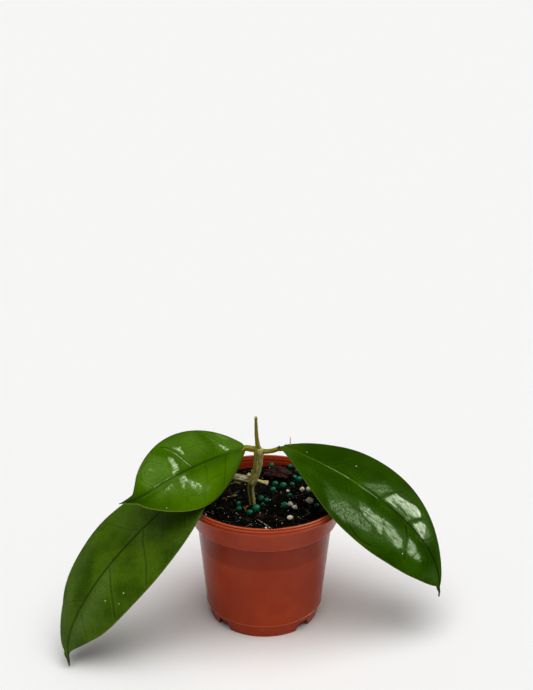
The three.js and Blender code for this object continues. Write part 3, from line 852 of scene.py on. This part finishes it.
# Veins and glints are lines drawn on the blade, shine and painted-sheen patches are patches. Shine and glints
# make the blade glossier and paint a pale highlight into it; the painted-sheen patches only paint a pale sheen.
# Each starts with its strength, then the softness of a patch or the width of a glint in mm, then places along
# and across, in hundredths.
leaves = {
    "leaf_upper_left": {
        "midrib": [(-12, -3, 118.5), (-37.1, -27.9, 120.9), (-62.3, -48.8, 117.5), (-76.2, -82.2, 117.5)],
        "hook": (-3.3, -8.1, 7.2), "roll": (57.5, 51.3, 56.3), "fold": (24.8, 12.2, 14.1), "curl": 16,
        "halfWidth": 25.85, "widest": 0.419, "fullness": 0.632, "tipStart": 0.903, "tip": 1.06,
        "pillow": 0.20, "groove": 0.12, "pucker": 0.16, "seed": 4, "slot": "leaf_bright",
        "veins": [
            (0.8, [(12.5, 5), (14.5, 25), (16.5, 50), (19, 85)]),
            (0.3, [(25, 2), (29, 30), (31.5, 55), (32.5, 85)]),
            (0.8, [(43.2, 2), (44.7, 25), (46, 50), (48.5, 72), (52, 88)]),
            (0.5, [(59, 45), (62, 62), (64.5, 80), (69, 92), (74, 90), (78, 75), (78.5, 50), (77, 25),
                   (76, 8)]),
            (0.5, [(17, -5), (18.5, -30), (20, -60), (21.5, -85)]),
            (0.4, [(50, -10), (51, -30), (52.5, -55), (55, -80)]),
            (0.35, [(65, -10), (66.5, -40), (68, -60), (70, -85)]),
            (0.35, [(33, -4), (34.5, -30), (37, -60), (40, -85)]), (0.3, [(30, 55), (36, 50), (42, 56)]),
            (0.3, [(17, 55), (24, 48), (30, 50)]), (0.3, [(22, -50), (30, -46), (36, -50)]),
            (0.25, [(40, -72), (46, -66), (53, -60)]), (0.3, [(60, 4), (61.5, 20), (60, 45)]),
        ],
        "shine": [
            (1, 0.6, [(41, 62), (43, 63), (45.8, 70), (45.2, 60), (44.2, 47), (43, 37), (42, 45)]),
            (1, 0.4, [(53, 56), (54.5, 52), (55, 35), (56.5, 20), (59, 10), (58.8, 3), (55, 5), (52.7, 10),
                      (51.3, 25), (51, 42), (52, 52)]),
            (0.65, 0.5, [(49.8, -5), (56, -2), (56.8, -20), (56.2, -36), (54, -40), (52.5, -30),
                         (50.5, -20)]),
            (0.68, 0.7, [(51, -15), (47, -28), (43, -38), (40, -48), (33, -56), (32, -68), (38, -71),
                         (44, -69), (47, -58), (49.5, -43), (51, -30)]),
            (0.5, 1, [(61, -12), (66, -10), (70, -20), (70, -32), (66, -36), (62, -30)]),
            (0.5, 1, [(65, 50), (68, 72), (71, 75), (71, 60), (69, 48)]),
            (1, 0.5, [(11.5, 8), (16.5, 10), (17.5, 30), (16.5, 42), (15, 30), (13.5, 20)]),
            (0.7, 0.5, [(17.5, 50), (19, 52), (19, 68), (17.8, 66)]),
            (0.9, 0.5, [(9, 55), (12, 60), (15, 85), (12, 95), (7, 70)]),
        ],
        "paintedSheen": [
            (0.7, 4, [(58, 8), (80, 10), (80, 60), (73, 95), (62, 90), (56, 50)]),
            (0.5, 4, [(57, -5), (74, -5), (76, -40), (60, -50)]),
            (0.4, 3, [(3, 15), (20, 10), (20, 90), (5, 95)]),
            (0.35, 3, [(24, 30), (50, 10), (48, 95), (26, 95)]),
            (0.3, 3.5, [(30, -50), (50, -10), (60, -10), (56, -60), (40, -85)]),
            (0.35, 3, [(2, -10), (14, -10), (17, -90), (5, -95)]),
        ],
        "glints": [
            (1, 0.45, [(44.3, 5), (45.5, 22), (46.7, 42), (48.3, 62), (51, 80)]),
            (0.6, 0.4, [(50.5, -20), (51.4, -38), (52.5, -55)]), (0.5, 0.6, [(60, 4), (68, 4.5), (75.5, 5)]),
            (0.4, 0.4, [(78, 45), (79.5, 65), (78.5, 80)]), (0.7, 0.35, [(32.8, 68), (33.2, 88)]),
            (0.3, 0.4, [(29, 45), (30, 62)]), (0.35, 0.4, [(34.5, 60), (36, 80)]),
            (0.5, 0.4, [(10, -85), (12.5, -60), (16.5, -40)]),
            (0.5, 0.4, [(11.5, -95), (14, -70), (17.5, -50)]),
        ],
    },
    "leaf_upper_right": {
        "midrib": [(9.5, -2, 118.5), (52.7, -21.8, 109.5), (110.3, -26.2, 76.4), (113.1, -27.6, 27.4)],
        "hook": (-1.7, 0, -1.7), "roll": (18.8, -30.9, -17.1), "fold": (-14.5, 12.3, 13.8), "curl": 5.9,
        "halfWidth": 30.98, "widest": 0.478, "fullness": 0.586, "tipStart": 0.9527, "tip": 0.975,
        "pillow": 0.16, "groove": 0.16, "pucker": 0.07, "seed": 15, "slot": "leaf_bright",
        "veins": [
            (1, [(45.5, 3), (46.8, -10), (48.5, -25), (50.3, -38), (52, -50), (54.5, -65)]),
            (1, [(61.2, 3), (63, -12), (64.5, -27), (66, -40), (67.5, -52), (70, -70)]),
            (0.6, [(71.5, 0), (73.5, -15), (75, -30), (75.7, -45), (77, -65)]),
            (0.7, [(61, 8), (63, 15), (66, 30), (69, 50), (72, 70)]),
            (0.4, [(49, 10), (50.5, 25), (53, 42), (56, 60)]),
            (0.8, [(33, 72), (37, 80), (42, 88), (48, 93), (54, 90)]),
            (0.35, [(20, -2), (23, -15), (27, -40), (30, -62)]),
            (0.5, [(51.5, -45), (55, -50), (59, -57), (62.5, -67), (65.5, -66), (66.8, -56)]),
            (0.25, [(10, -5), (12, -20), (15, -50)]), (0.2, [(30, 5), (33, 30), (37, 55)]),
            (0.2, [(16, 5), (19, 35), (23, 70)]), (0.25, [(80, 3), (83, -20), (86, -50)]),
            (0.25, [(79, 10), (82, 30), (86, 60)]), (0.4, [(25, 60), (30, 68), (33, 72)]),
            (0.35, [(36, 56), (38, 66), (37, 80)]), (0.35, [(44, 50), (45, 66), (43, 86)]),
            (0.3, [(23, 70), (26, 50), (31, 42)]), (0.3, [(27, -40), (32, -38), (38, -45)]),
            (0.25, [(53, 42), (58, 36), (64, 30)]),
        ],
        "shine": [
            (0.5, 0.6, [(37, -4), (45.5, -3), (46.5, -10), (48, -25), (49.5, -36), (50.5, -43), (46, -46),
                        (44, -36), (40, -24), (38, -14)]),
            (1, 0.35, [(47.5, -3), (61.2, -2), (62.5, -15), (64, -28), (65.5, -42), (66.5, -55), (65.5, -63),
                       (62.5, -64), (59, -54), (55, -47), (51.5, -43), (50, -30), (48.5, -15)]),
            (-0.55, 0.6, [(53, -6), (62, -5), (62.5, -12), (58, -20), (54, -17)]),
            (0.9, 0.35, [(63.2, -3), (71, 0), (73, -12), (74.5, -30), (74.8, -45), (72.5, -52), (69.5, -48),
                         (67, -42), (65.5, -25), (64, -12)]),
            (0.6, 0.8, [(24, 70), (30, 90), (37, 90), (44, 80), (51, 70), (49, 56), (40, 50), (34, 47),
                        (27, 48), (25, 60)]),
            (1, 0.8, [(39, 32), (42, 27), (46, 33), (50, 31), (54, 28), (60, 31), (65, 38), (66.8, 50),
                      (66, 60), (60, 60), (53, 59), (49, 52), (44, 50), (40, 42)]),
            (1, 0.4, [(66, 22), (70, 23), (74, 30), (79, 40), (78, 49), (72, 53), (69, 50), (67.2, 36)]),
            (0.25, 1.5, [(86, 15), (93, 20), (94, 50), (90, 70), (86, 60), (85, 35)]),
        ],
        "paintedSheen": [
            (0.7, 3, [(24, 50), (30, 90), (50, 82), (66, 62), (78, 50), (78, 30), (66, 22), (40, 28),
                      (30, 45)]),
            (0.6, 2.5, [(36, -3), (75, -2), (77, -50), (68, -70), (45, -50)]),
            (0.5, 4, [(84, 10), (95, 20), (96, 70), (86, 75)]),
            (0.4, 3, [(0, 10), (6, 10), (8, 90), (0, 90)]),
            (0.25, 3, [(50, -60), (80, -40), (95, -50), (90, -95), (60, -95)]),
        ],
        "glints": [
            (0.9, 0.3, [(46, 8.5), (53, 10), (60, 11)]),
            (0.7, 0.3, [(63, 12), (68, 10), (72, 3), (74.5, -20), (75.7, -42)]),
            (0.8, 0.35, [(20, 1), (28, 0), (37, 2), (46, 3)]), (0.6, 0.35, [(65.5, 50), (68, 53), (70, 50)]),
        ],
    },
    "leaf_lower_left": {
        "midrib": [(-38, -8, 98.5), (-66, -45.2, 96.6), (-117.9, -70.3, 51.8), (-121.7, -67.4, 3.4)],
        "hook": (3.5, -0.8, -1.7), "roll": (-6.9, 26.1, 35.9), "fold": (-1.1, 9.6, 22), "curl": 7.9,
        "halfWidth": 27.43, "widest": 0.478, "fullness": 0.567, "tipStart": 0.9374, "tip": 1.31,
        "pillow": 0.12, "groove": 0.10, "pucker": 0.05, "seed": 27, "slot": "leaf_dull",
        "veins": [
            (0.8, [(36, -5), (39, -20), (41.5, -40), (45, -65), (50.5, -93)]),
            (0.9, [(54.5, -5), (57.5, -20), (61, -40), (65, -65), (70, -93)]),
            (0.6, [(75, -8), (78, -25), (81, -45), (84.5, -70)]),
            (0.4, [(15, -10), (17, -35), (20, -55), (24.5, -80)]),
            (0.45, [(37, 5), (39.5, 25), (41, 45), (42.5, 70), (44, 90)]),
            (0.2, [(53, 5), (56, 30), (60, 60)]), (0.45, [(71, 5), (73.5, 30), (76.5, 60), (80, 90)]),
            (0.3, [(20, 5), (22.5, 30), (25, 60)]),
        ],
        "shine": [(0.4, 1, [(58, -10), (70, -12), (70, -25), (62, -25)])],
        "paintedSheen": [
            (0.25, 4, [(10, 10), (42, 10), (42, 90), (20, 90)]),
            (0.9, 3.5, [(53, -6), (72, -8), (94, -10), (94, -40), (80, -42), (64, -34)]),
            (0.5, 4, [(46, 95), (70, 95), (93, 90), (94, 45), (80, 42), (60, 55)]),
            (0.3, 3, [(66, -40), (94, -45), (92, -90), (74, -80)]),
        ],
        "glints": [(0.5, 0.4, [(38, 2), (50, 3), (65, 2), (80, 0)])],
    },
}


def throughThree(values, s):  # a smooth value through those at the base, the middle and the tip
    base, middle, tip = values
    return base * (1 - s) * (1 - 2 * s) + 4 * middle * s * (1 - s) + tip * s * (2 * s - 1)


def widthAt(leaf, s):
    v = np.minimum(s / leaf["tipStart"], 1)
    power = leaf["fullness"] * (1 - leaf["widest"]) / leaf["widest"]
    body = (v / leaf["widest"]) ** leaf["fullness"] * ((1 - v) / (1 - leaf["widest"])) ** power
    tip = leaf["tip"] * np.maximum(1 - s, 0) ** 0.95 * smoothed(s, 0.5, 0.93)
    return np.maximum(np.hypot(body, tip), 0.012)


def midribAt(leaf, s):
    a, b, c, d = [np.array(p, float) for p in leaf["midrib"]]
    s = s[:, None]
    line = a * (1 - s) ** 3 + 3 * b * s * (1 - s) ** 2 + 3 * c * s ** 2 * (1 - s) + d * s ** 3
    return line + np.maximum((s - 0.8) / 0.2, 0) ** 2 * np.array(leaf["hook"])


def normalized(vectors):
    return vectors / np.linalg.norm(vectors, axis=1)[:, None]


def leafFrame(leaf, s):
    small = 0.001
    forward = normalized(midribAt(leaf, np.minimum(s + small, 1)) - midribAt(leaf, np.maximum(s - small, 0)))
    level = normalized(np.cross(forward, (0, 0, 1)))
    top = np.cross(level, forward)
    roll = np.radians(throughThree(leaf["roll"], s))[:, None]
    side = level * np.cos(roll) + top * np.sin(roll)
    return side, np.cross(side, forward)


def leafPoints(leaf, s, t, lift):
    side, normal = leafFrame(leaf, s)
    reach = leaf["halfWidth"] * widthAt(leaf, s) * np.abs(t)
    droop = np.radians(throughThree(leaf["fold"], s) + leaf["curl"] * np.abs(t) / 2)
    across = np.sign(t) * reach * np.cos(droop)
    return midribAt(leaf, s) + side * across[:, None] + normal * (lift - reach * np.sin(droop))[:, None]


def leafLength(leaf):
    line = midribAt(leaf, np.linspace(0, 1, 200))
    return np.linalg.norm(np.diff(line, axis=0), axis=1).sum()


def flatPlace(leaf, length, s, t):  # the blade laid flat, in mm
    return np.stack([s * length, t * leaf["halfWidth"] * widthAt(leaf, s)], axis=1)


def ridge(away, reach):
    return np.exp(-(away / reach) ** 2)


def distanceTo(line, points):
    best = np.full(len(points), 1e9)
    for a, b in zip(line, line[1:]):
        way = b - a
        part = np.clip(((points - a) @ way) / max(way @ way, 1e-9), 0, 1)
        best = np.minimum(best, np.linalg.norm(points - a - part[:, None] * way, axis=1))
    return best


def lineOn(leaf, length, route):  # a smooth line through places on the blade, laid flat
    fine, _ = curveThrough([(s / 100, t / 100, 0) for s, t in route], 24)
    return flatPlace(leaf, length, fine[:, 0], fine[:, 1])


def patchOn(leaf, length, corners, soft, points):  # 1 within the patch, 0 outside, soft in mm
    s, t = np.array(corners).T / 100
    ring = flatPlace(leaf, length, s, t)
    ring = np.concatenate([ring, ring[:1]])
    inside = np.zeros(len(points), bool)
    for (ax, ay), (bx, by) in zip(ring, ring[1:]):
        crosses = (ay > points[:, 1]) != (by > points[:, 1])
        inside ^= crosses & (points[:, 0] < (bx - ax) * (points[:, 1] - ay) / (by - ay + 1e-12) + ax)
    depth = distanceTo(ring, points) * np.where(inside, 1, -1)
    return smoothed(depth, -soft, soft)


def leafMesh(name, leaf):
    bm = bmesh.new()
    bmesh.ops.create_grid(bm, x_segments=blade["rows"], y_segments=blade["columns"], size=0.5)
    made = bmesh.ops.extrude_face_region(bm, geom=bm.faces[:])["geom"]
    bmesh.ops.translate(bm, vec=(0, 0, 1), verts=[v for v in made if isinstance(v, bmesh.types.BMVert)])
    mesh = meshOf(bm, name)
    grid = coordinates(mesh)
    u, v, upper = grid[:, 0] + 0.5, grid[:, 1] * 2, grid[:, 2] > 0.5
    eased = u - blade["crowded"] * np.sin(2 * math.pi * u) / (2 * math.pi)
    s = blade["start"] + (1 - blade["start"]) * eased
    t = v * (1 + blade["crowdedEdge"] * (1 - v * v))
    length = leafLength(leaf)
    flat = flatPlace(leaf, length, s, t)
    half = leaf["halfWidth"] * widthAt(leaf, s)
    vein, tone, halo = np.full(len(flat), 1e9), np.zeros(len(flat)), np.zeros(len(flat))
    for strength, route in leaf["veins"]:
        away = distanceTo(lineOn(leaf, length, route), flat)
        vein = np.minimum(vein, away + (1 - strength) * blade["faint"])
        tone = np.maximum(tone, strength * ridge(away, blade["veinWidth"]))
        halo = np.maximum(halo, strength * ridge(away - blade["haloAway"], blade["veinWidth"]))
    shine, paintedSheen = np.zeros(len(flat)), np.zeros(len(flat))
    for strength, soft, corners in leaf["shine"]:
        shine += strength * patchOn(leaf, length, corners, soft + blade["soften"], flat)
    for strength, width, route in leaf["glints"]:
        away = distanceTo(lineOn(leaf, length, route), flat)
        shine = np.maximum(shine, strength * ridge(away, width))
    # patches of painted sheen, which only tint the blade paler
    for strength, soft, corners in leaf["paintedSheen"]:
        paintedSheen += strength * patchOn(leaf, length, corners, soft, flat)
    rib = np.abs(flat[:, 1])
    edge = half * (1 - np.abs(t))
    solid = np.column_stack([flat, np.full(len(flat), leaf["seed"] * 10.0)])

    seed, middle = leaf["seed"], smoothed(s, 0.25, 0.45)
    calm = smoothed(edge, 0, blade["calmEdge"]) * smoothed(s, 0, 0.08) * smoothed(1 - s, 0.02, 0.14)
    relief = leaf["pillow"] * (1 - ridge(np.minimum(vein, rib), blade["pillowReach"])) * calm
    relief -= leaf["groove"] * ridge(vein, blade["grooveReach"]) * calm
    height, reach = blade["ribGroove"]
    relief -= height * ridge(rib, reach) * middle * calm
    height, reach = blade["shoulder"]
    relief += height * ridge(rib - blade["shoulderAway"], reach) * smoothed(s, 0.2, 0.45) * calm
    puckers = bumps(solid * np.array(blade["puckers"]), 1, seed)
    finer = bumps(solid * np.array(blade["finePuckers"]), 1, seed + 3)
    relief += leaf["pucker"] * (puckers + 0.5 * finer) * calm
    wave = bumps(solid * np.array(blade["waves"]), 1, seed + 8)
    relief += blade["wave"] * wave * smoothed(np.abs(t), 0.2, 1) * smoothed(1 - s, 0, 0.1)
    relief -= blade["rimDrop"] * smoothed(edge, blade["rimReach"], 0.0)

    thin = blade["thickness"] + (blade["edgeThickness"] - blade["thickness"]) * t ** 2
    rounded = smoothed(edge, blade["roundOver"], -0.1) ** 2 * blade["round"]
    thin = thin / 2 * np.sqrt(np.clip(1 - rounded, 0.05, 1))
    (keel, reach), (veinKeel, veinReach) = blade["keel"], blade["veinKeel"]
    keels = keel * ridge(rib, reach) * smoothed(1 - s, 0.0, 0.25) + veinKeel * ridge(vein, veinReach) * calm
    lift = np.where(upper, thin, -thin - keels) + relief
    moveTo(mesh, leafPoints(leaf, s, t, lift))
    marks = {
        "tone": tone, "shine": np.clip(shine, 0, 1), "paintedSheen": np.clip(paintedSheen, 0, 1), "halo": halo,
        "rib": flat[:, 1], "edge": edge, "side": t, "along": s, "upper": upper.astype(float), "flat": solid,
    }
    for name, values in marks.items():
        store(mesh, name, values)
    outward(mesh)
    return mesh


def leafFinish(name, look, seed):
    plain = {"Specular IOR Level": look["gloss"], "Coat Roughness": look["coatRoughness"], "Coat IOR": 1.5}
    finish = Finish(name, plain)
    marks = ("tone", "rib", "edge", "halo", "along", "side", "upper", "shine", "paintedSheen")
    tone, rib, edge, halo, along, side, upper, shine, paintedSheen = [finish.attribute(mark) for mark in marks]
    flat = finish.attribute("flat", "Vector")
    rib = finish.node("Math", {"operation": "ABSOLUTE"}, {0: rib})
    cloud = finish.grain(flat, 0.05, 2, 0.5)
    blotch = finish.grain(flat, 0.35, 3, 0.6)
    fine = finish.grain(finish.stretch(flat, (1.5, 0.6, 1)), 1.1, 3, 0.6)
    finish.ground(finish.step(cloud, 0.28, 0.72), look["deep"], look["fresh"])
    finish.paint(finish.step(blotch, 0.5, 0.72) * 0.4, look["deep"])
    finish.paint(finish.step(fine, 0.5, 0.68) * 0.32, look["light"])
    finish.paint(finish.step(fine, 0.47, 0.34) * 0.35, look["vein"])
    # painted light and shade: one half of the blade, fading towards the tip, is tinted lighter or darker for
    # how the light falls on it
    half = finish.step(side, 0, 0.5 * look["paintedLightSide"]) * finish.step(along, 0.9, 0.25)
    finish.paint(half * look["paintedLightTint"], look["half"])
    finish.paint(halo * 0.3, look["light"])
    finish.paint(tone * look["veinTint"], look["vein"])
    end = look["ribEnd"]  # the midrib is pale up to here and dark from here
    pale = finish.step(rib, 0.9, 0.25) * finish.step(along, end + 0.12, end - 0.1)
    finish.paint(pale * finish.step(fine, 0.38, 0.52) * blade["ribTint"], look["rib"])
    dark = finish.step(rib, 1.0, 0.35) * finish.step(along, end - 0.05, end + 0.15)
    finish.paint(dark * look["ribDark"], look["vein"])
    finish.paint(finish.step(along, 0.76, 0.95) * look["tipTint"], look["vein"])
    finish.paint(finish.step(along, 0.14, 0.0) * 0.5, look["base"])
    # bands along the margins: the pale bands of the upper left leaf's margin and the lower left leaf's rim are
    # painted highlights where the edge catches the light; the dark-brown bands are the margins' own colour
    sideMask = finish.step(side, 0.0, 0.4 * look["marginSide"])
    finish.paint(finish.step(edge, 0.75, 0.2) * sideMask * look["marginTint"], look["margin"])
    finish.paint(finish.step(edge, 0.7, 0.1) * (1 - sideMask) * 0.6, look["rim"])
    for x, y, radius, spot in look["spots"]:
        ring = finish.apart(flat, (x, y, seed * 10.0))
        finish.paint(finish.step(ring, radius, radius * 0.5), spot)
    wrinkles = finish.grain(finish.stretch(flat, (1.5, 0.5, 1), 0.5), 0.9, 4, 0.7)
    streaks = finish.grain(finish.stretch(flat, (0.3, 1.5, 1), 0.3), 0.8, 3, 0.65, 0.6)
    ragged = finish.step(shine + (wrinkles - 0.5) * 2.1, 0.3, 0.85) * finish.step(shine, 0, 0.2)
    gloss = ragged * (shine * 0.7 + 0.2) * (0.2 + finish.step(streaks, 0.38, 0.58) * 0.8)
    paintedSheen = paintedSheen * (0.35 + finish.step(wrinkles, 0.34, 0.66) * 0.65)
    # painted highlight and painted sheen: the blade is tinted paler over the shine and sheen patches
    finish.paint((paintedSheen + gloss) * look["sheen"], look["sheenTint"])
    under = finish.mix(finish.step(blotch, 0.4, 0.7), srgb(*look["under"]), srgb(*look["underLight"]))
    finish.color = finish.mix(upper, under, finish.color)
    finish.feed(
        roughness=blade["roughness"] + (1 - upper) * 0.15,
        coat=(look["coat"] + gloss * (1 - look["coat"])) * upper,
        normal=finish.bump(fine * 0.4 + wrinkles * 0.5 + streaks * 0.5 - tone * 1.2, look["bump"] * mm, 0.8),
    )
    return finish


waxyCoat = {"gloss": 0.0, "coat": 0.004, "coatRoughness": 0.09}
leafLooks = {
    "leaf_upper_left": {
        **waxyCoat, "bump": 0.26, "sheen": 0.5, "sheenTint": (134, 168, 84),
        "deep": (62, 99, 0), "fresh": (78, 118, 0), "light": (100, 138, 26),
        "vein": (28, 58, 2), "veinTint": 0.75, "tipTint": 0.5, "base": (88, 118, 20),
        "rib": (52, 86, 14), "ribEnd": 0.12, "ribDark": 0.6,
        "margin": (150, 172, 70), "marginSide": -1, "marginTint": 0.5, "rim": (56, 48, 16),
        "half": (108, 154, 0), "paintedLightSide": -1, "paintedLightTint": 0.8,
        "under": (96, 122, 58), "underLight": (122, 146, 78),
        "spots": [(10.4, 6.4, 1.6, (46, 58, 16)), (10.4, 6.4, 0.9, (118, 132, 70)),
                  (80.3, -14.2, 0.5, (196, 212, 180))],
    },
    "leaf_upper_right": {
        **waxyCoat, "bump": 0.16, "sheen": 0.42, "sheenTint": (112, 146, 80),
        "deep": (40, 71, 0), "fresh": (55, 91, 0), "light": (76, 110, 18),
        "vein": (14, 34, 2), "veinTint": 0.8, "tipTint": 0.0, "base": (84, 112, 18),
        "rib": (112, 136, 52), "ribEnd": 0.4, "ribDark": 0.85,
        "margin": (96, 116, 48), "marginSide": 1, "marginTint": 0.5, "rim": (52, 44, 30),
        "half": (38, 66, 0), "paintedLightSide": -1, "paintedLightTint": 0.5,
        "under": (92, 116, 60), "underLight": (118, 140, 82),
        # the white dot inside the brown spot is a painted glint; the other pale specks are the blade's own
        "spots": [(104.2, 16.6, 0.95, (60, 36, 18)), (104.6, 16.3, 0.5, (246, 246, 240)),
                  (17.2, -4.6, 0.5, (190, 206, 170)), (48.6, -13.6, 0.6, (186, 202, 160))],
    },
    "leaf_lower_left": {
        "gloss": 0.03, "coat": 0.03, "coatRoughness": 0.2, "bump": 0.14, "sheen": 0.5, "sheenTint": (108, 128, 78),
        "deep": (53, 80, 2), "fresh": (84, 114, 14), "light": (104, 130, 44),
        "vein": (28, 48, 8), "veinTint": 0.68, "tipTint": 0.0, "base": (74, 96, 30),
        "rib": (40, 58, 14), "ribEnd": 0.05, "ribDark": 0.7,
        "margin": (58, 40, 30), "marginSide": 1, "marginTint": 0.8, "rim": (112, 124, 62),
        "half": (50, 78, 0), "paintedLightSide": 1, "paintedLightTint": 0.3,
        "under": (88, 108, 60), "underLight": (112, 130, 80),
        "spots": [(90.2, -17.4, 0.55, (206, 216, 180)), (100.9, -10.9, 0.6, (190, 206, 160)),
                  (97.2, -18.8, 0.45, (206, 216, 186))],
    },
}
for node, leaf in leaves.items():
    finish = leafFinish(node + "_skin", leafLooks[node], leaf["seed"])
    place(node + "_blade", leafMesh(node, leaf), finish, leaf["slot"], node, sharp=70)
print("leaves made")

low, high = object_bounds()
